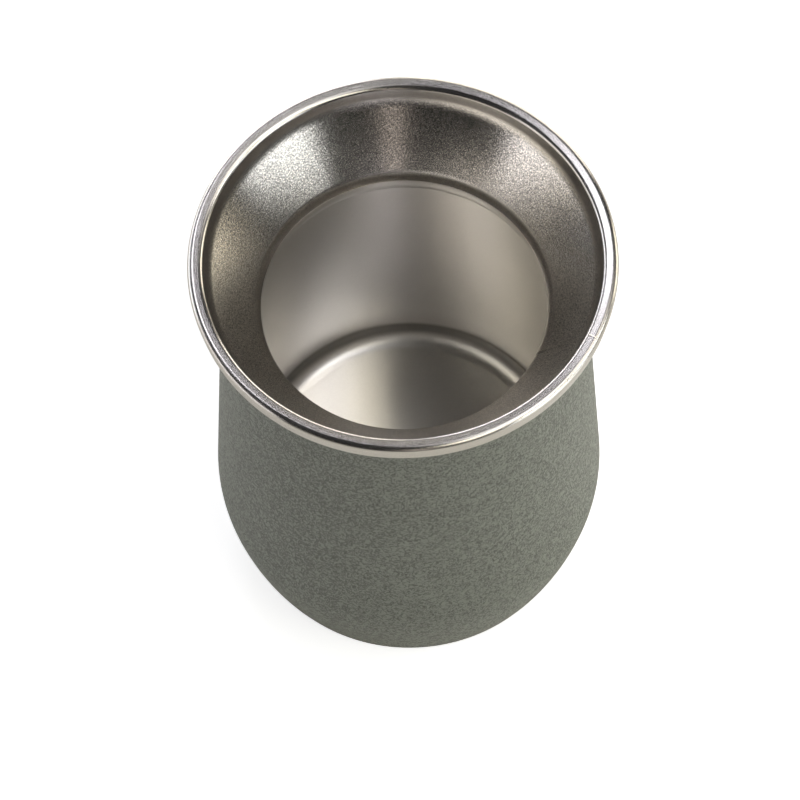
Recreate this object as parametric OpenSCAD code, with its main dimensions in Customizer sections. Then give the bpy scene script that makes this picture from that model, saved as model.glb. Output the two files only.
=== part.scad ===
// Double-walled steel mate cup: a drawn liner with a funnel mouth, a painted gourd-shaped
// shell, and a pressed plate that closes the foot.
// Millimetres. +Z is up, and the origin is the middle of the ring that the cup stands on.
// Every outline is half of the section, on the right of the axis, and is spun round Z.

/* [Overall] */
// Height from the ground to the top of the lip
height = 107; // [98:0.5:116]
// Thickness of the steel sheet
sheet_t = 0.5; // [0.4:0.05:0.7]

/* [Mouth] */
// Diameter outside the lip, at its widest
mouth_d = 90; // [86:0.5:94]
// Width of the lip, from its inner edge to its widest point
lip_w = 3; // [2.2:0.1:3.6]
// Radius of the lip's rounded outer edge
lip_edge_r = 1.2; // [0.9:0.1:1.6]
// Width of the small bevel on the lip's inner edge
lip_bevel = 0.2; // [0.1:0.05:0.4]
// Height of the bare collar below the top of the lip
collar_h = 4.1; // [3:0.1:6]
// How far the collar's foot lies inside its widest point
collar_taper = 0.5; // [0.2:0.1:0.8]

/* [Throat] */
// Diameter of the throat at its narrowest
throat_d = 60; // [56:0.5:62]
// Depth of the throat's narrowest point below the lip
throat_depth = 19.7; // [17:0.1:23]
// Radius of the throat's rounding
throat_r = 6.4; // [5:0.1:8]

/* [Chamber] */
// Diameter inside the chamber
chamber_d = 66; // [64:0.5:70]
// Depth of the chamber's floor below the lip
chamber_depth = 89.9; // [78:0.1:92]
// Radius of the hollow shoulder between the throat and the chamber wall
shoulder_r = 4; // [2:0.1:6]
// Radius of the hollow corner round the floor
floor_r = 4.2; // [2:0.1:8]

/* [Shell] */
// Diameter of the neck, where the flare below the collar ends
neck_d = 77; // [76:0.1:80]
// Depth of the neck below the lip
neck_depth = 18; // [14:0.5:24]
// Diameter of the belly, the widest part of the body
belly_d = 82; // [81:0.1:86]
// Height of the belly above the ground
belly_h = 23.8; // [22:0.1:32]
// Radius of the belly's rounding
belly_r = 37.3; // [30:0.1:55]
// Degrees by which that rounding runs on below the belly's widest point
belly_turn = 12; // [6:1:15]
// How far the painted face lies inside the collar's foot
paint_step = 0.2; // [0.1:0.05:0.3]

/* [Foot] */
// Diameter of the foot at the ground, before its edge is rounded
foot_d = 70.1; // [66:0.1:72]
// Radius of the foot's rounded outer edge
foot_edge_r = 0.4; // [0.2:0.05:0.5]
// Height of the plate above the ground
plate_h = 3; // [2:0.1:5]
// Radius of the plate's hollow corner
plate_corner_r = 1.2; // [0.6:0.1:1.8]

/* [Hidden] */
$fn = 180;
// Largest turn between two points of a round stretch
arc_step = 5;
// The same on the long, slow curves of the shell
slow_arc_step = 2;

// Points of an arc about c, from angle a to angle b
function arc(c, r, a, b, step = arc_step) =
    let (n = ceil(abs(b - a)/step))
    [for (i = [0:n]) c + r*unit(a + (b - a)*i/n)];

// Unit vector at angle a
function unit(a) = [cos(a), sin(a)];

// Angle of the point where a line from p touches the circle of radius r about c
function touch_angle(p, c, r, side) =
    let (d = p - c)
    atan2(d.y, d.x) + side*acos(r/norm(d));

// Points in the opposite order
function reversed(v) = [for (i = [len(v) - 1:-1:0]) v[i]];

// Liner: places of its rounded stretches
mouth_r = mouth_d/2;
lip_inner = [mouth_r - lip_w, height];
lip_edge_c = [mouth_r - lip_edge_r, height - lip_edge_r];
collar_foot = [mouth_r - collar_taper, height - collar_h];
collar_angle = touch_angle(collar_foot, lip_edge_c, lip_edge_r, 1);
throat_c = [throat_d/2 + throat_r, height - throat_depth];
funnel_angle = touch_angle(lip_inner, throat_c, throat_r, 1);
chamber_r = chamber_d/2;
floor_z = height - chamber_depth;
floor_c = [chamber_r - floor_r, floor_z + floor_r];
// Below the throat its rounding runs out to a point where the shoulder takes over
shoulder_angle = acos((throat_c.x - chamber_r + shoulder_r)/(throat_r + shoulder_r));
shoulder_c = throat_c - (throat_r + shoulder_r)*unit(shoulder_angle);

// The liner's face towards the drink for t = 0, and its hidden face for t = sheet_t,
// from the middle of the floor up to the lip
function liner_face(t) = concat(
    [[0, floor_z - t]],
    arc(floor_c, floor_r + t, -90, 0),
    arc(shoulder_c, shoulder_r + t, 0, shoulder_angle),
    arc(throat_c, throat_r - t, 180 + shoulder_angle, funnel_angle));

// Where the funnel meets the flat of the lip: a bevel on the seen side, a corner on the other
lip_slope = funnel_angle - 90;
lip_bevel_points = [
    lip_inner - lip_bevel*unit(lip_slope),
    lip_inner + [lip_bevel, 0]];
lip_hidden_corner = lip_inner + sheet_t*[tan(lip_slope/2), -1];

// The collar's hidden face ends level with its seen face
collar_hidden_foot = [collar_foot.x - sheet_t/cos(collar_angle), collar_foot.y];

// Shell: places of its rounded stretches, on the painted face
shell_top = collar_foot - [paint_step, 0];
neck = [neck_d/2, height - neck_depth];
belly_c = [belly_d/2 - belly_r, belly_h];
foot = [foot_d/2, 0];
wall_angle = touch_angle(neck, belly_c, belly_r, -1);
// Below the belly's rounding a slower arc runs on towards the foot
low_start = belly_c + belly_r*unit(-belly_turn);
low_chord = foot - low_start;
low_r = -low_chord*low_chord/(2*low_chord*unit(-belly_turn));
low_c = low_start - low_r*unit(-belly_turn);
// It gives way to a straight cone level with the top of the plate
cone_start = asin((plate_h + sheet_t - low_c.y)/low_r);
cone_line = foot - low_c - low_r*unit(cone_start);
foot_angle = atan2(cone_line.x, -cone_line.y);
// The flare runs on from the wall at the neck and ends at the collar
flare_chord = shell_top - neck;
flare_r = flare_chord*flare_chord/(2*flare_chord*unit(wall_angle));
flare_c = neck + flare_r*unit(wall_angle);
foot_edge_c = foot_circle_c(foot_edge_r, foot_edge_r);

// Angle round the flare at which its face, t inside the paint, reaches the collar
function flare_end(t) = 180 - asin((shell_top.y - flare_c.y)/(flare_r + t));

// Middle of a circle at height z that lies r inside the painted cone of the foot
function foot_circle_c(r, z) =
    [foot.x + (z*sin(-foot_angle) - r)/cos(foot_angle), z];

// The shell's face at a depth of t inside the paint, from the collar down to the foot's cone
function shell_face(t) = concat(
    arc(flare_c, flare_r + t, flare_end(t), 180 + wall_angle, slow_arc_step),
    arc(belly_c, belly_r - t, wall_angle, -belly_turn, slow_arc_step),
    arc(low_c, low_r - t, -belly_turn, cone_start, slow_arc_step));

// Point on the ground where the cone at a depth of t inside the paint ends
function ground_point(t) =
    let (top = low_c + (low_r - t)*unit(cone_start))
    [top.x + top.y*tan(foot_angle), 0];

// Plate: its flange lies against the shell's hidden face, this deep inside the painted cone
flange_depth = (foot.x - ground_point(sheet_t).x)*cos(foot_angle);
plate_corner_c =
    foot_circle_c(flange_depth + sheet_t + plate_corner_r, plate_h - plate_corner_r);

// The plate's lower face for t = 0, and its hidden upper face for t = sheet_t
function plate_face(t) = concat(
    [[0, plate_h + t]],
    arc(plate_corner_c, plate_corner_r + t, 90, foot_angle),
    [[foot.x - (flange_depth + sheet_t - t)/cos(foot_angle), 0]]);

// Drawn steel liner: floor, chamber, throat, funnel, lip and bare collar in one piece
module inner_liner() {
    color([0.72, 0.70, 0.67])
    rotate_extrude()
    polygon(concat(
        liner_face(0),
        lip_bevel_points,
        arc(lip_edge_c, lip_edge_r, 90, collar_angle),
        [collar_foot, collar_hidden_foot],
        reversed(arc(lip_edge_c, lip_edge_r - sheet_t, 90, collar_angle)),
        [lip_hidden_corner],
        reversed(liner_face(sheet_t))));
}

// Painted shell: flare, body and the outer half of the foot ring
module outer_shell() {
    color([0.42, 0.45, 0.41])
    rotate_extrude()
    polygon(concat(
        shell_face(0),
        arc(foot_edge_c, foot_edge_r, foot_angle, -90),
        [ground_point(sheet_t)],
        reversed(shell_face(sheet_t))));
}

// Pressed plate that closes the foot, with a flange down to the ground
module base_plate() {
    color([0.66, 0.65, 0.63])
    rotate_extrude()
    polygon(concat(
        plate_face(0),
        reversed(plate_face(sheet_t))));
}

inner_liner();
outer_shell();
base_plate();
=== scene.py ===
"""A double-walled steel mate cup: its pieces, their finishes and a plain studio."""
import math

import bmesh
import bpy
from bpy.props import FloatProperty, FloatVectorProperty, PointerProperty
from mathutils import Matrix, Vector


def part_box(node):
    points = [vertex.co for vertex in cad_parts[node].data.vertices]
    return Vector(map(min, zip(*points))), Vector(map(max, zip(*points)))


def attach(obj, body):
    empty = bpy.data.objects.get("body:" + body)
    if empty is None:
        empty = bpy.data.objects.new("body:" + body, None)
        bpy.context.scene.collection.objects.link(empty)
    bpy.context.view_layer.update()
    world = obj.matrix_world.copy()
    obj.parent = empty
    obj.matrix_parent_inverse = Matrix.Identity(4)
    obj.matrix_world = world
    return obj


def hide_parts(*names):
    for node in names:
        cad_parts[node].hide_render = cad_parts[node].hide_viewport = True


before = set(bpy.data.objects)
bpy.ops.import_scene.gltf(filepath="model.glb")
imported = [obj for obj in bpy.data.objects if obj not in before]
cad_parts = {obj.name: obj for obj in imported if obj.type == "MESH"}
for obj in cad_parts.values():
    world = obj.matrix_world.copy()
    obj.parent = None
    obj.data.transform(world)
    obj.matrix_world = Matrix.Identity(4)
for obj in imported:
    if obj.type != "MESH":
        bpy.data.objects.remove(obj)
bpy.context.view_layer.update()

bl_info = {
    "name": "Mate cup",
    "version": (1, 0, 0),
    "blender": (4, 5, 0),
    "location": "3D View > Sidebar > Cup",
    "description": "Models a double-walled steel mate cup with its finishes, on a plain floor",
    "category": "Add Mesh",
}

LINER_LOW, LINER_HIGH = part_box("inner_liner")
SHELL_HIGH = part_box("outer_shell")[1]

# Points round each ring of a turned piece
ROUND_STEPS = 256
# Largest turn, in degrees, between two rings of a rounding, and of a slow curve
ARC_STEP = 4.0
SLOW_ARC_STEP = 1.5
# How far a piece runs past a plane that then cuts it off
SPARE = 0.0008
# How near to its ring a point is taken to be, also after a wall has been given its thickness
NEAR = 2e-6
NEAR_ON_WALL = 2e-5
# Points nearer than this are one
SAME_POINT = 1e-7
# Faces that meet at more than this angle, in degrees, keep a sharp edge
SHARP = 35.0
# How far above the throat's narrowest place the blasted steel begins
BLAST_MARGIN = 0.0008

# Where the weld runs down the funnel, in degrees round the axis
SEAM_AZIMUTH = -26.5
# Width of the weld's line and how deep or high it is, in the funnel and on the lip
FUNNEL_SEAM_WIDTH, FUNNEL_SEAM_DEPTH = 0.00042, 0.00015
LIP_SEAM_WIDTH, LIP_SEAM_HEIGHT = 0.00026, 0.00012

FLOOR_WIDTH = 16.0
# Glow of the floor where it is seen straight, and where the steel mirrors it
FLOOR_GLOW_SEEN = 0.75
FLOOR_GLOW_MIRRORED = 0.16
# Width of the camera's sensor in millimetres, which the lens is stated for
SENSOR_WIDTH = 36.0
# Nearest and farthest place that the camera sees
CAMERA_REACH = (0.1, 50.0)
# The lamps stand round a point at this share of the cup's height, all at one distance
LAMP_AIM = 0.7
LAMP_DISTANCE = 1.1
# Name, azimuth and elevation in degrees, width and height in metres, watts, colour
LAMPS = (
    ("lamp_right_low", -29, 10, (0.74, 0.36), 1.8, (0.95, 0.98, 1.0)),
    ("lamp_right", -30, 30, (0.40, 0.36), 1.6, (1.0, 0.97, 0.80)),
    ("lamp_right_front", -60, 47, (0.36, 0.42), 1.35, (1.0, 0.96, 0.82)),
    ("lamp_right_high", -30, 61, (0.38, 0.36), 0.95, (0.97, 0.97, 1.0)),
    ("lamp_side_low", 26, 10, (0.44, 0.34), 1.55, (1.0, 0.95, 0.80)),
    ("lamp_side", 0, 34, (0.38, 0.46), 1.65, (1.0, 1.0, 0.95)),
    ("lamp_side_high", 8, 61, (0.56, 0.32), 1.0, (1.0, 0.95, 0.88)),
    ("lamp_top", 20, 76, (0.50, 0.34), 0.8, (1.0, 1.0, 1.0)),
    ("lamp_back_right", 42, 61, (0.28, 0.28), 0.2, (1.0, 0.95, 0.92)),
    ("lamp_back_left", 112, 60, (0.24, 0.28), 1.1, (0.90, 0.90, 1.0)),
    ("lamp_back", 88, 50, (0.20, 0.16), 0.07, (1.0, 0.93, 0.84)),
    ("lamp_back_right_low", 71, 10, (0.72, 0.34), 3.0, (1.0, 0.96, 0.87)),
    ("lamp_back_low", 111, 10, (0.72, 0.34), 3.7, (0.98, 0.96, 1.0)),
    ("lamp_back_left_low", 149, 10, (0.72, 0.34), 2.3, (0.90, 0.93, 1.0)),
    ("lamp_left_low", 191, 10, (0.98, 0.34), 1.85, (1.0, 0.97, 0.98)),
    ("lamp_front", -87, 24, (0.14, 0.44), 0.15, (1.0, 0.88, 0.80)),
)


# Sizes and colours that a user may change

def length(name, description, default):
    return FloatProperty(
        name=name, description=description, default=default,
        min=0.0, precision=5, unit='LENGTH')


def tint(name, description, default):
    return FloatVectorProperty(
        name=name, description=description, default=default,
        size=3, min=0.0, max=1.0, subtype='COLOR')


def share(name, description, default):
    return FloatProperty(
        name=name, description=description, default=default,
        min=0.0, max=1.0, precision=3)


def turn(name, description, default):
    return FloatProperty(
        name=name, description=description, default=math.radians(default),
        precision=3, subtype='ANGLE')


class CupSizes(bpy.types.PropertyGroup):
    """Sizes of the cup. The lip's lean and the steep band are finer than its solids."""
    height: length("Height", "From the ground to the top of the lip", LINER_HIGH.z)
    sheet: length("Sheet", "Thickness of the steel sheet", 0.0005)
    mouth_width: length("Mouth", "Diameter outside the lip", 2*LINER_HIGH.x)
    lip_width: length("Lip width", "From the lip's inner edge to its widest point", 0.0030)
    lip_edge_radius: length("Lip edge", "Radius of the lip's outer edge", 0.0012)
    lip_rounding: length("Lip rounding", "Reach of the rounding on the lip's inner edge", 0.0008)
    lip_tilt: turn("Lip tilt", "How far the lip leans in towards the funnel", 5.0)
    band_height: length("Band height", "Height of the steep band just inside the lip", 0.0034)
    band_slope: turn("Band slope", "Slope of the steep band", 68.0)
    band_rounding: length("Band rounding", "Reach of the rounding where the funnel begins", 0.0014)
    collar_foot: length("Collar foot", "Height of the collar's lower edge", SHELL_HIGH.z)
    collar_taper: length("Collar taper", "How far the collar leans in at its foot", 0.0005)
    throat_width: length("Throat", "Diameter at the throat's narrowest", 0.060)
    throat_depth: length("Throat depth", "Below the top of the lip", 0.0197)
    throat_radius: length("Throat rounding", "Radius of the throat's rounding", 0.0064)
    chamber_width: length("Chamber", "Diameter inside the chamber", 0.066)
    shoulder_radius: length("Shoulder", "Radius between throat and chamber wall", 0.004)
    floor_radius: length("Floor corner", "Radius of the floor's hollow corner", 0.0042)
    neck_width: length("Neck", "Diameter where the flare ends", 0.0770)
    neck_depth: length("Neck depth", "Below the top of the lip", 0.018)
    belly_width: length("Belly", "Diameter of the widest part", 0.0820)
    belly_height: length("Belly height", "Above the ground", 0.0238)
    belly_radius: length("Belly rounding", "Radius of the belly's rounding", 0.0373)
    belly_turn: turn("Belly turn", "How far the rounding runs on below the belly", 12.0)
    paint_step: length("Paint step", "How far the paint lies inside the collar", 0.0002)
    foot_width: length("Foot", "Diameter of the foot on the ground", 0.0701)
    foot_edge_radius: length("Foot edge", "Radius of the foot's outer edge", 0.0004)
    plate_height: length("Plate height", "Underside above the ground", 0.003)
    plate_corner_radius: length("Plate corner", "Radius of the plate's corner", 0.0012)
    seam_rounding: length("Seam rounding", "Broken edges along the seams", 0.00012)


class CupFinish(bpy.types.PropertyGroup):
    """Colours and surface of each finish"""
    steel: tint("Steel", "Colour of the bare steel", (0.67, 0.64, 0.60))
    chamber: tint("Chamber", "Colour of the chamber's steel", (0.86, 0.835, 0.80))
    blasted_roughness: share("Blasted roughness", "Gloss of the funnel", 0.23)
    chamber_roughness: share("Chamber roughness", "Gloss of the chamber", 0.33)
    lip_roughness: share("Lip roughness", "Gloss of the lip", 0.25)
    paint: tint("Paint", "Colour of the wrinkle paint", (0.180, 0.199, 0.165))
    paint_roughness: share("Paint roughness", "Gloss of the paint", 0.44)
    plate_roughness: share("Plate roughness", "Gloss of the foot plate", 0.32)


class CupStudio(bpy.types.PropertyGroup):
    """The floor, the lamps and the camera"""
    floor: tint("Floor", "Colour of the floor", (0.8, 0.8, 0.8))
    mirrored: tint("Mirrored floor", "Colour of the floor's glow in the steel", (1.0, 0.92, 0.70))
    room: tint("Room", "Colour of the room's light", (0.02, 0.02, 0.02))
    elevation: turn("Elevation", "Camera above the horizon", 61.17)
    roll: turn("Roll", "Camera's turn about its own line of sight", -1.85)
    distance: length("Distance", "From the middle of the lip to the camera", 2.25)
    across: length("Across", "How far the lip lies right of the picture's middle", 0.000592)
    above: length("Above", "How far the lip lies above the picture's middle", 0.028916)
    lens: FloatProperty(
        name="Lens", description="Focal length in millimetres on a 36 mm wide sensor",
        default=486.42, min=1.0)


# Outlines of the pieces: half of the section, as distance from the axis and height

def unit(angle):
    return Vector((math.cos(angle), math.sin(angle)))


def arc(centre, radius, start, end, step=ARC_STEP):
    """Points of an arc, with its ends, from one angle to another"""
    count = max(1, math.ceil(abs(math.degrees(end - start))/step))
    return [centre + radius*unit(start + (end - start)*i/count) for i in range(count + 1)]


def rounded(before, corner, after, reach, steps=8):
    """Rounds a corner of an outline, from a reach before it to a reach after it"""
    start = corner + reach*(before - corner).normalized()
    end = corner + reach*(after - corner).normalized()
    shares = [i/steps for i in range(steps + 1)]
    return [start*(1 - t)**2 + corner*2*t*(1 - t) + end*t**2 for t in shares]


def touch_angle(point, centre, radius, side):
    """Angle of the place where a line from the point touches a circle"""
    d = point - centre
    return math.atan2(d.y, d.x) + side*math.acos(radius/d.length)


def collar_edge(s):
    return Vector((s.mouth_width/2 - s.collar_taper, s.collar_foot))


def liner_outline(s):
    """The seen face, from the floor's flat over the lip to the collar's foot"""
    floor_z = LINER_LOW.z + s.sheet
    chamber_r = s.chamber_width/2
    lip_edge = Vector((s.mouth_width/2 - s.lip_edge_radius, s.height - s.lip_edge_radius))
    lip_start = math.pi/2 + s.lip_tilt
    lip_top = lip_edge + s.lip_edge_radius*unit(lip_start)
    inwards = lip_top.x - s.mouth_width/2 + s.lip_width
    lip_inner = lip_top - inwards*Vector((1, math.tan(s.lip_tilt)))
    band_foot = lip_inner - s.band_height*Vector((1/math.tan(s.band_slope), 1))
    throat = Vector((s.throat_width/2 + s.throat_radius, s.height - s.throat_depth))
    rounding = s.throat_radius + s.shoulder_radius
    shoulder_angle = math.acos((throat.x - chamber_r + s.shoulder_radius)/rounding)
    shoulder = throat - rounding*unit(shoulder_angle)
    funnel_angle = touch_angle(band_foot, throat, s.throat_radius, 1)
    funnel_foot = throat + s.throat_radius*unit(funnel_angle)
    collar_angle = touch_angle(collar_edge(s), lip_edge, s.lip_edge_radius, 1)
    floor_corner = Vector((chamber_r - s.floor_radius, floor_z + s.floor_radius))
    return [
        *arc(floor_corner, s.floor_radius, -math.pi/2, 0),
        *arc(shoulder, s.shoulder_radius, 0, shoulder_angle),
        *arc(throat, s.throat_radius, math.pi + shoulder_angle, funnel_angle)[1:],
        *rounded(funnel_foot, band_foot, lip_inner, s.band_rounding),
        *rounded(band_foot, lip_inner, lip_top, s.lip_rounding),
        *arc(lip_edge, s.lip_edge_radius, lip_start, collar_angle, 2*ARC_STEP),
        collar_edge(s),
    ]


def low_arc(s):
    """The slow arc from the belly's rounding to the foot: middle, radius and where it ends"""
    belly = Vector((s.belly_width/2 - s.belly_radius, s.belly_height))
    foot = Vector((s.foot_width/2, 0))
    start = belly + s.belly_radius*unit(-s.belly_turn)
    chord = foot - start
    radius = -chord.length_squared/(2*chord.dot(unit(-s.belly_turn)))
    centre = start - radius*unit(-s.belly_turn)
    end = math.asin((s.plate_height + s.sheet - centre.y)/radius)
    return centre, radius, end


def foot_angle(s):
    """How the straight cone at the foot faces, as an angle above the horizon"""
    centre, radius, end = low_arc(s)
    line = Vector((s.foot_width/2, 0)) - centre - radius*unit(end)
    return math.atan2(line.x, -line.y)


def shell_outline(s):
    """The painted face, from above the collar's foot to below the ground"""
    top = collar_edge(s) - Vector((s.paint_step, 0))
    neck = Vector((s.neck_width/2, s.height - s.neck_depth))
    belly = Vector((s.belly_width/2 - s.belly_radius, s.belly_height))
    wall_angle = touch_angle(neck, belly, s.belly_radius, -1)
    chord = top - neck
    flare_radius = chord.length_squared/(2*chord.dot(unit(wall_angle)))
    flare = neck + flare_radius*unit(wall_angle)
    past_top = math.asin((top.y + SPARE - flare.y)/flare_radius)
    centre, radius, end = low_arc(s)
    below = Vector((s.foot_width/2, 0)) - SPARE*Vector((math.tan(-foot_angle(s)), 1))
    return [
        *arc(flare, flare_radius, math.pi - past_top, math.pi + wall_angle, SLOW_ARC_STEP),
        *arc(belly, s.belly_radius, wall_angle, -s.belly_turn, SLOW_ARC_STEP),
        *arc(centre, radius, -s.belly_turn, end, SLOW_ARC_STEP)[1:],
        below,
    ]


def plate_outline(s):
    """The plate's lower face, from its flat down the flange to below the ground"""
    lean = foot_angle(s)
    inside = 2*s.sheet
    corner_z = s.plate_height - s.plate_corner_radius
    reach = corner_z*math.sin(-lean) - inside - s.plate_corner_radius
    corner = Vector((s.foot_width/2 + reach/math.cos(lean), corner_z))
    below = Vector((s.foot_width/2 - inside/math.cos(lean), 0))
    below -= SPARE*Vector((math.tan(-lean), 1))
    return [*arc(corner, s.plate_corner_radius, math.pi/2, lean, 3*ARC_STEP), below]


# Modelling

def start_round(name, radius, z, fill):
    """Adds a round and leaves its outer edge picked in edit mode"""
    bpy.ops.object.select_all(action='DESELECT')
    bpy.ops.mesh.primitive_circle_add(
        vertices=ROUND_STEPS, radius=radius, fill_type=fill, location=(0, 0, z))
    piece = bpy.context.active_object
    piece.name = piece.data.name = name
    bpy.ops.object.transform_apply(location=True, rotation=True, scale=True)
    bpy.ops.object.mode_set(mode='EDIT')
    bpy.ops.mesh.select_mode(type='EDGE')
    bpy.ops.mesh.select_all(action='SELECT')
    if fill != 'NOTHING':
        bpy.ops.mesh.region_to_loop()
    return piece


def raise_rings(first, points):
    """Draws the picked ring out through each point of an outline"""
    radius, z = first
    for point in points:
        bpy.ops.mesh.extrude_region_move(
            TRANSFORM_OT_translate={"value": (0, 0, point.y - z)})
        grow = point.x/radius
        bpy.ops.transform.resize(
            value=(grow, grow, 1), center_override=(0, 0, point.y))
        radius, z = point


def pick(piece, kind, wanted):
    """Picks the edges or faces whose every corner is where wanted says"""
    bpy.ops.mesh.select_mode(type=kind)
    bpy.ops.mesh.select_all(action='DESELECT')
    mesh = bmesh.from_edit_mesh(piece.data)
    parts = mesh.edges if kind == 'EDGE' else mesh.faces
    for part in parts:
        if all(wanted(math.hypot(v.co.x, v.co.y), v.co.z) for v in part.verts):
            part.select_set(True)
    mesh.select_flush(True)
    bmesh.update_edit_mesh(piece.data)


def at(radius, z, near=NEAR):
    """True for a point on the ring of that radius and height"""
    return lambda r, h: abs(r - radius) < near and abs(h - z) < near


def face_outwards(piece, seen_from):
    """Turns the faces outwards, so that the one nearest to a point looks at it"""
    bpy.ops.mesh.select_all(action='SELECT')
    bpy.ops.mesh.normals_make_consistent(inside=False)
    mesh = bmesh.from_edit_mesh(piece.data)
    nearest = min(mesh.faces, key=lambda f: (f.calc_center_median() - seen_from).length)
    if nearest.normal.dot(seen_from - nearest.calc_center_median()) < 0:
        bpy.ops.mesh.flip_normals()


def give_thickness(piece, sheet):
    """Adds the sheet's thickness on the hidden side"""
    bpy.ops.object.mode_set(mode='OBJECT')
    wall = piece.modifiers.new("sheet", 'SOLIDIFY')
    wall.thickness = sheet
    wall.offset = -1
    wall.use_even_offset = True
    bpy.ops.object.modifier_apply(modifier=wall.name)
    bpy.ops.object.mode_set(mode='EDIT')


def cut_level(piece, z, above):
    """Cuts the piece off level at a height and closes the cut between its two walls"""
    bpy.ops.mesh.select_mode(type='EDGE')
    bpy.ops.mesh.select_all(action='SELECT')
    bpy.ops.mesh.bisect(
        plane_co=(0, 0, z), plane_no=(0, 0, 1),
        clear_outer=above, clear_inner=not above, threshold=SAME_POINT)
    pick(piece, 'EDGE', lambda r, h: abs(h - z) < NEAR/2)
    bpy.ops.mesh.bridge_edge_loops()


def round_ring(piece, radius, z, width, segments=3, near=NEAR):
    """Rounds the edge that runs round at a radius and height"""
    pick(piece, 'EDGE', at(radius, z, near))
    bpy.ops.mesh.bevel(
        offset=width, segments=segments, profile=0.5, affect='EDGES', clamp_overlap=False)


def smooth(piece):
    """Ends the modelling: smooth shading that follows the large faces"""
    bpy.ops.mesh.select_all(action='SELECT')
    bpy.ops.mesh.remove_doubles(threshold=SAME_POINT)
    bpy.ops.object.mode_set(mode='OBJECT')
    bpy.ops.object.shade_smooth_by_angle(angle=math.radians(SHARP))
    even = piece.modifiers.new("even shading", 'WEIGHTED_NORMAL')
    even.keep_sharp = True
    bpy.ops.object.modifier_apply(modifier=even.name)
    piece.select_set(False)


def finish_faces(piece, material, wanted=None):
    """Adds a finish to the piece, on the faces that wanted picks or on all"""
    piece.data.materials.append(material)
    if wanted is not None:
        pick(piece, 'FACE', wanted)
        piece.active_material_index = len(piece.data.materials) - 1
        bpy.ops.object.material_slot_assign()


def place(piece, node, slot):
    """Puts the piece in the frame, in the place of a solid"""
    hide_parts(node)
    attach(piece, "root")


# Finishes

# Turn of the gloss that makes its streaks run round the axis, as a share of a full turn
ROUND_THE_AXIS = 0.25


class Value:
    """A number that changes over a surface. Sums on it add Math nodes."""

    def __init__(self, finish, socket):
        self.finish = finish
        self.socket = socket

    def math(self, operation, *others):
        return self.finish.add(
            'ShaderNodeMath', {"operation": operation}, dict(enumerate(others)))

    def __add__(self, other):
        return self.math('ADD', self, other)

    def __radd__(self, other):
        return self.math('ADD', other, self)

    def __sub__(self, other):
        return self.math('SUBTRACT', self, other)

    def __rsub__(self, other):
        return self.math('SUBTRACT', other, self)

    def __mul__(self, other):
        return self.math('MULTIPLY', self, other)

    def __rmul__(self, other):
        return self.math('MULTIPLY', other, self)

    def __pow__(self, other):
        return self.math('POWER', self, other)

    def __abs__(self):
        return self.math('ABSOLUTE', self)

    def at_least(self, other):
        return self.math('MAXIMUM', self, other)


class Finish:
    """A material and the one way to add a node to it"""

    def __init__(self, owner):
        owner.use_nodes = True
        self.owner = owner
        self.tree = owner.node_tree
        self.tree.nodes.clear()

    def add(self, kind, settings=None, sockets=None, out=0):
        node = self.tree.nodes.new(kind)
        for name, value in (settings or {}).items():
            setattr(node, name, value)
        for name, value in (sockets or {}).items():
            if isinstance(value, Value):
                self.tree.links.new(value.socket, node.inputs[name])
            else:
                node.inputs[name].default_value = value
        return Value(self, node.outputs[out] if node.outputs else None)

    def parts(self, vector):
        """The three numbers of a vector"""
        split = self.add('ShaderNodeSeparateXYZ', {}, {0: vector})
        return [Value(self, out) for out in split.socket.node.outputs]

    def place(self):
        """The place on the piece, as a vector and as its three numbers"""
        here = self.add('ShaderNodeTexCoord', out='Object')
        return here, self.parts(here)

    def vector(self, x, y, z):
        return self.add('ShaderNodeCombineXYZ', {}, {0: x, 1: y, 2: z})

    def noise(self, where, scale, detail=2.0, roughness=0.5, distortion=0.0):
        """A soft random pattern, with scale cells to the metre"""
        return self.add('ShaderNodeTexNoise', {}, {
            "Vector": where, "Scale": scale, "Detail": detail,
            "Roughness": roughness, "Distortion": distortion})

    def between(self, value, low, high, to_low=0.0, to_high=1.0):
        """Goes smoothly from one number to another as value passes low to high"""
        return self.add(
            'ShaderNodeMapRange', {"interpolation_type": 'SMOOTHSTEP'},
            {0: value, 1: low, 2: high, 3: to_low, 4: to_high})

    def blend(self, factor, first, second):
        """Goes from one colour to another with factor"""
        first, second = (c if isinstance(c, Value) else (*c, 1.0) for c in (first, second))
        return self.add(
            'ShaderNodeMix', {"data_type": 'RGBA'}, {0: factor, 6: first, 7: second}, out=2)

    def bump(self, height, depth, strength=1.0, normal=None):
        """Raises the surface by height, which is from 0 to 1, times depth in metres"""
        sockets = {"Height": height, "Distance": depth, "Strength": strength}
        if normal is not None:
            sockets["Normal"] = normal
        return self.add('ShaderNodeBump', {}, sockets)

    def surface(self, **sockets):
        shader = self.add(
            'ShaderNodeBsdfPrincipled', {},
            {name.replace("_", " "): value for name, value in sockets.items()})
        self.add('ShaderNodeOutputMaterial', {}, {0: shader})
        return self.owner


def scaled(colour, factor):
    return tuple(min(1.0, c*factor) for c in colour)


def seam_line(finish, x, y, width):
    """One along the weld that runs down the funnel, nothing beside it"""
    across, along = math.sin(math.radians(SEAM_AZIMUTH)), math.cos(math.radians(SEAM_AZIMUTH))
    beside = abs(y*along - x*across)
    on_its_side = finish.between(x*along + y*across, 0.0, 0.01)
    return finish.between(beside, 0.4*width, width, 1.0, 0.0)*on_its_side


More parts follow.
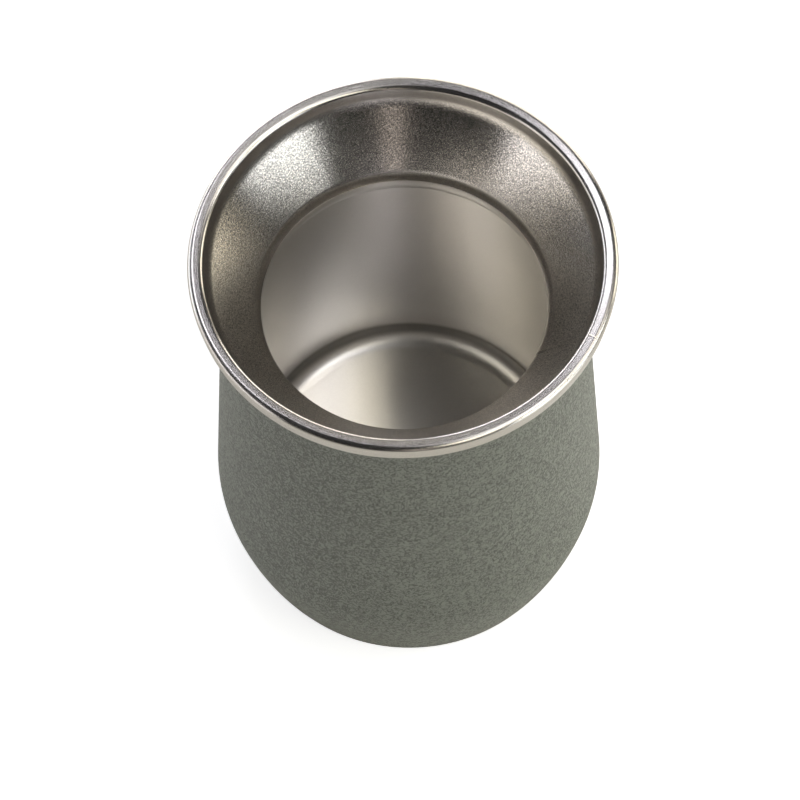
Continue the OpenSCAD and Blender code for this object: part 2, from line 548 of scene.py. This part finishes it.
def blasted_steel(f, s):
    """Bead-blasted steel of the funnel: fine dimples, painted sparkle in the colour, painted shade
    towards the throat, and the weld's dark crease
    """
    finish = Finish(bpy.data.materials.new("blasted_steel"))
    here, (x, y, z) = finish.place()
    throat_z = s.height - s.throat_depth
    dimples = finish.noise(here, 3600.0, 1.0)
    painted_sparkle = finish.noise(here, 3300.0, 2.0, 0.7) - 0.5
    clouds = finish.noise(here, 90.0, 3.0)

    # The dimples, and the sparkle painted into the colour, grow from the throat upwards and fade
    # again below the lip
    dimple_and_sparkle_fade = finish.between(z, throat_z + 0.001, throat_z + 0.007, 0.1, 1.0)
    dimple_and_sparkle_fade = dimple_and_sparkle_fade*finish.between(z, s.height - 0.0045, s.height - 0.0025, 1.0, 0.15)
    # The crease is deep at the throat and shallow above it
    seam = seam_line(finish, x, y, FUNNEL_SEAM_WIDTH)
    seam = seam*finish.between(z, throat_z + 0.002, throat_z + 0.008, 1.0, 0.12)
    shade = finish.between(z, throat_z, throat_z + 0.006, 0.2, 0.0)

    # The fine bright and dark specks in the colour are painted sparkle, and the shade term is
    # painted shade near the throat
    colour = finish.blend(
        painted_sparkle*dimple_and_sparkle_fade*3.2 + 0.4 + clouds*0.2 - seam*0.9 - shade,
        scaled(f.steel, 0.40), scaled(f.steel, 1.49))
    dimpled = finish.bump(dimples*dimple_and_sparkle_fade, 0.00002)
    return finish.surface(
        Base_Color=colour, Metallic=1.0,
        Roughness=f.blasted_roughness + (clouds - 0.5)*0.04,
        Normal=finish.bump(1.0 - seam, FUNNEL_SEAM_DEPTH, normal=dimpled))


def satin_steel(f, s):
    """Satin steel of the chamber: fine grain, a pale wall and a ring of painted dark reflection in
    the floor's corner
    """
    finish = Finish(bpy.data.materials.new("satin_steel"))
    here, (x, y, z) = finish.place()
    grain = finish.noise(here, 2600.0, 2.0)
    clouds = finish.noise(here, 60.0, 2.0)
    above_floor = z - (LINER_LOW.z + s.sheet)
    wall = finish.between(above_floor, 0.004, 0.012)
    # A ring of painted dark reflection: the dark near wall mirrored in the floor's hollow corner,
    # painted into the colour
    corner = finish.between(abs(above_floor - 0.0031), 0.0006, 0.0022, 1.0, 0.0)
    colour = finish.blend(
        clouds*0.2 + grain*0.3 + wall*0.5, scaled(f.chamber, 0.90), scaled(f.chamber, 1.16))
    colour = finish.blend(corner*0.85, colour, scaled(f.chamber, 0.30))
    return finish.surface(
        Base_Color=colour, Metallic=1.0,
        Roughness=f.chamber_roughness + (clouds - 0.5)*0.03,
        Anisotropic=0.4, Anisotropic_Rotation=ROUND_THE_AXIS,
        Normal=finish.bump(grain, 0.00001))


def ring_lines(finish, x, y, across, round_scale, across_scale, detail, roughness=0.5):
    """Fine lines that run round the axis: a noise drawn out long"""
    where = finish.vector(x*round_scale, y*round_scale, across*across_scale)
    return finish.noise(where, 1.0, detail, roughness)


def brushed_steel(f):
    """Finely brushed steel of the lip and collar, its lines running round, and the weld's nick"""
    finish = Finish(bpy.data.materials.new("brushed_steel"))
    here, (x, y, z) = finish.place()
    radius = (x*x + y*y)**0.5
    lines = ring_lines(finish, x, y, radius - z, 70.0, 7000.0, 3.0, 0.65)
    clouds = finish.noise(here, 120.0, 2.0)
    seam = seam_line(finish, x, y, LIP_SEAM_WIDTH)
    colour = finish.blend(
        lines.at_least(seam), scaled(f.steel, 0.85), scaled(f.steel, 1.18))
    brushed = finish.bump(lines, 0.00001)
    return finish.surface(
        Base_Color=colour, Metallic=1.0,
        Roughness=f.lip_roughness + (lines - 0.5)*0.14 + (clouds - 0.5)*0.04,
        Anisotropic=0.7, Anisotropic_Rotation=ROUND_THE_AXIS,
        Normal=finish.bump(seam, LIP_SEAM_HEIGHT, normal=brushed))


def wrinkle_paint(f):
    """Grey-green paint with a fine raised wrinkle, paler on its hills"""
    finish = Finish(bpy.data.materials.new("wrinkle_paint"))
    here = finish.place()[0]
    worms = finish.noise(here, 1150.0, 1.0, 0.5, 0.6)
    hills = finish.between(abs(worms - 0.5), 0.0, 0.10)
    grain = finish.noise(here, 2200.0, 2.0)
    clouds = finish.noise(here, 45.0, 3.0)
    colour = finish.blend(
        hills*0.65 + grain*0.35 + (clouds - 0.5)*0.06,
        scaled(f.paint, 0.22), scaled(f.paint, 1.52))
    return finish.surface(
        Base_Color=colour, Specular_IOR_Level=1.0,
        Roughness=f.paint_roughness + (clouds - 0.5)*0.06 - (hills - 0.5)*0.06,
        Normal=finish.bump(hills*0.8 + grain*0.2, 0.00018))


def plate_steel(f):
    """Plain satin steel of the foot plate, with lines from turning"""
    finish = Finish(bpy.data.materials.new("plate_steel"))
    x, y, z = finish.place()[1]
    radius = (x*x + y*y)**0.5
    lines = ring_lines(finish, x, y, radius + z, 60.0, 4500.0, 2.0)
    colour = finish.blend(lines, scaled(f.steel, 0.92), f.steel)
    return finish.surface(
        Base_Color=colour, Metallic=1.0,
        Roughness=f.plate_roughness + (lines - 0.5)*0.1,
        Anisotropic=0.4, Anisotropic_Rotation=ROUND_THE_AXIS,
        Normal=finish.bump(lines, 0.000006, 0.5))


def floor_cloth(studio):
    """Pale cloth that looks white to the camera, keeps the shadow and is darker in the steel"""
    finish = Finish(bpy.data.materials.new("floor"))
    ray = finish.add('ShaderNodeLightPath').socket.node.outputs
    straight = Value(finish, ray['Is Camera Ray']).at_least(
        Value(finish, ray['Is Transmission Ray']))
    mirrored = Value(finish, ray['Is Glossy Ray'])
    strength = (straight*FLOOR_GLOW_SEEN).at_least(mirrored*FLOOR_GLOW_MIRRORED)
    tone = finish.blend(mirrored, (1.0, 1.0, 1.0), studio.mirrored)
    cloth = finish.add('ShaderNodeBsdfDiffuse', {}, {0: (*studio.floor, 1.0)})
    glow = finish.add('ShaderNodeEmission', {}, {0: tone, 1: strength})
    both = finish.add('ShaderNodeAddShader', {}, {0: cloth, 1: glow})
    finish.add('ShaderNodeOutputMaterial', {}, {0: both})
    return finish.owner


def room_light(studio):
    """Faint light of the room, a little darker overhead"""
    room = Finish(bpy.data.worlds.new("room"))
    upwards = room.parts(room.add('ShaderNodeTexCoord', out='Generated'))[2]
    light = room.blend(room.between(upwards, -0.1, 1.0), studio.room, scaled(studio.room, 0.8))
    shade = room.add('ShaderNodeBackground', {}, {0: light, 1: 1.0})
    room.add('ShaderNodeOutputWorld', {}, {0: shade})
    return room.owner


# Operators: one for each piece, and one for the stage

class CUP_OT_liner(bpy.types.Operator):
    """Drawn steel liner: floor, chamber, throat, funnel, lip and bare collar"""
    bl_idname = "cup.liner"
    bl_label = "Liner"

    def execute(self, context):
        s, f = context.scene.cup_sizes, context.scene.cup_finish
        outline = liner_outline(s)
        piece = start_round("liner", *outline[0], 'TRIFAN')
        raise_rings(outline[0], outline[1:])
        face_outwards(piece, Vector((0, 0, s.height)))
        finish_faces(piece, satin_steel(f, s))
        blast_from = s.height - s.throat_depth + BLAST_MARGIN
        blast_to = s.mouth_width/2 - s.lip_edge_radius
        finish_faces(
            piece, blasted_steel(f, s), lambda r, z: z > blast_from and r < blast_to)
        lip_from = s.mouth_width/2 - s.lip_width - NEAR/2
        finish_faces(
            piece, brushed_steel(f), lambda r, z: r > lip_from and z > s.collar_foot - NEAR/2)
        give_thickness(piece, s.sheet)
        round_ring(piece, *collar_edge(s), s.seam_rounding)
        smooth(piece)
        place(piece, "inner_liner", "liner_steel")
        return {'FINISHED'}


class CUP_OT_shell(bpy.types.Operator):
    """Painted shell: flare, body and the outer half of the foot ring"""
    bl_idname = "cup.shell"
    bl_label = "Shell"

    def execute(self, context):
        s, f = context.scene.cup_sizes, context.scene.cup_finish
        outline = shell_outline(s)
        piece = start_round("shell", *outline[0], 'NOTHING')
        raise_rings(outline[0], outline[1:])
        face_outwards(piece, Vector((s.mouth_width, 0, s.height/2)))
        finish_faces(piece, wrinkle_paint(f))
        give_thickness(piece, s.sheet)
        cut_level(piece, s.collar_foot, above=True)
        cut_level(piece, 0.0, above=False)
        seam_r = s.mouth_width/2 - s.collar_taper - s.paint_step
        round_ring(piece, seam_r, s.collar_foot, s.seam_rounding, near=NEAR_ON_WALL)
        # The foot's edge is blunt, so its rounding takes a smaller width than its radius
        round_ring(
            piece, s.foot_width/2, 0.0, 0.7*s.foot_edge_radius, segments=5, near=NEAR_ON_WALL)
        smooth(piece)
        place(piece, "outer_shell", "green_paint")
        return {'FINISHED'}


class CUP_OT_foot_plate(bpy.types.Operator):
    """Pressed plate that closes the foot"""
    bl_idname = "cup.foot_plate"
    bl_label = "Foot plate"

    def execute(self, context):
        s, f = context.scene.cup_sizes, context.scene.cup_finish
        outline = plate_outline(s)
        piece = start_round("foot_plate", *outline[0], 'TRIFAN')
        raise_rings(outline[0], outline[1:])
        face_outwards(piece, Vector((0, 0, -s.height)))
        finish_faces(piece, plate_steel(f))
        give_thickness(piece, s.sheet)
        cut_level(piece, 0.0, above=False)
        smooth(piece)
        place(piece, "base_plate", "base_steel")
        return {'FINISHED'}


def softbox(aim, name, azimuth, elevation, size, power, colour):
    """A lamp behind a white cloth, which looks at the cup"""
    a, e = math.radians(azimuth), math.radians(elevation)
    away = Vector((math.cos(a)*math.cos(e), math.sin(a)*math.cos(e), math.sin(e)))
    bpy.ops.object.light_add(type='AREA', location=aim + LAMP_DISTANCE*away)
    lamp = bpy.context.active_object
    lamp.name = lamp.data.name = name
    lamp.rotation_euler = away.to_track_quat('Z', 'Y').to_euler()
    lamp.data.shape = 'RECTANGLE'
    lamp.data.size, lamp.data.size_y = size
    lamp.data.energy = power
    lamp.data.color = colour
    lamp.visible_camera = False


class CUP_OT_studio(bpy.types.Operator):
    """Plain floor, soft lamps and the camera"""
    bl_idname = "cup.studio"
    bl_label = "Studio"

    def execute(self, context):
        s, studio = context.scene.cup_sizes, context.scene.cup_studio
        bpy.ops.object.select_all(action='DESELECT')
        bpy.ops.mesh.primitive_plane_add(size=FLOOR_WIDTH)
        floor = bpy.context.active_object
        floor.name = floor.data.name = "floor"
        bpy.ops.object.mode_set(mode='EDIT')
        bpy.ops.mesh.select_all(action='SELECT')
        bpy.ops.mesh.subdivide(number_cuts=3)
        bpy.ops.object.mode_set(mode='OBJECT')
        floor.data.materials.append(floor_cloth(studio))

        context.scene.world = room_light(studio)
        aim = Vector((0, 0, s.height*LAMP_AIM))
        for lamp in LAMPS:
            softbox(aim, *lamp)
        self.add_camera(context, Vector((0, 0, s.height)), studio)
        return {'FINISHED'}

    @staticmethod
    def add_camera(context, lip_middle, studio):
        """Looks at the cup as the photograph does"""
        e, roll = studio.elevation, studio.roll
        turned = Matrix.Rotation(math.pi/2 - e, 3, 'X') @ Matrix.Rotation(roll, 3, 'Z')
        right, up, back = turned.transposed()
        place = (lip_middle + studio.distance*back
                 - studio.across*right - studio.above*up)
        bpy.ops.object.camera_add()
        camera = bpy.context.active_object
        camera.name = camera.data.name = "camera"
        camera.matrix_world = Matrix.Translation(place) @ turned.to_4x4()
        camera.data.sensor_width = SENSOR_WIDTH
        camera.data.lens = studio.lens
        camera.data.clip_start, camera.data.clip_end = CAMERA_REACH
        context.scene.camera = camera
        context.scene.view_settings.view_transform = 'Standard'


class CUP_PT_panel(bpy.types.Panel):
    """Lists the cup's pieces, sizes and finishes"""
    bl_idname = "CUP_PT_panel"
    bl_label = "Mate cup"
    bl_space_type = 'VIEW_3D'
    bl_region_type = 'UI'
    bl_category = "Cup"

    def draw(self, context):
        for operator in OPERATORS:
            self.layout.operator(operator.bl_idname)
        for group in (context.scene.cup_sizes, context.scene.cup_finish, context.scene.cup_studio):
            box = self.layout.box()
            for name in group.__annotations__:
                box.prop(group, name)


OPERATORS = (CUP_OT_liner, CUP_OT_shell, CUP_OT_foot_plate, CUP_OT_studio)
GROUPS = {"cup_sizes": CupSizes, "cup_finish": CupFinish, "cup_studio": CupStudio}


def register():
    for group in GROUPS.values():
        bpy.utils.register_class(group)
    for name, group in GROUPS.items():
        setattr(bpy.types.Scene, name, PointerProperty(type=group))
    for operator in OPERATORS:
        bpy.utils.register_class(operator)
    bpy.utils.register_class(CUP_PT_panel)


def unregister():
    bpy.utils.unregister_class(CUP_PT_panel)
    for operator in reversed(OPERATORS):
        bpy.utils.unregister_class(operator)
    for name in GROUPS:
        delattr(bpy.types.Scene, name)
    for group in reversed(GROUPS.values()):
        bpy.utils.unregister_class(group)


def main():
    register()
    bpy.ops.cup.liner()
    bpy.ops.cup.shell()
    bpy.ops.cup.foot_plate()
    bpy.ops.cup.studio()


if __name__ == "__main__":
    main()
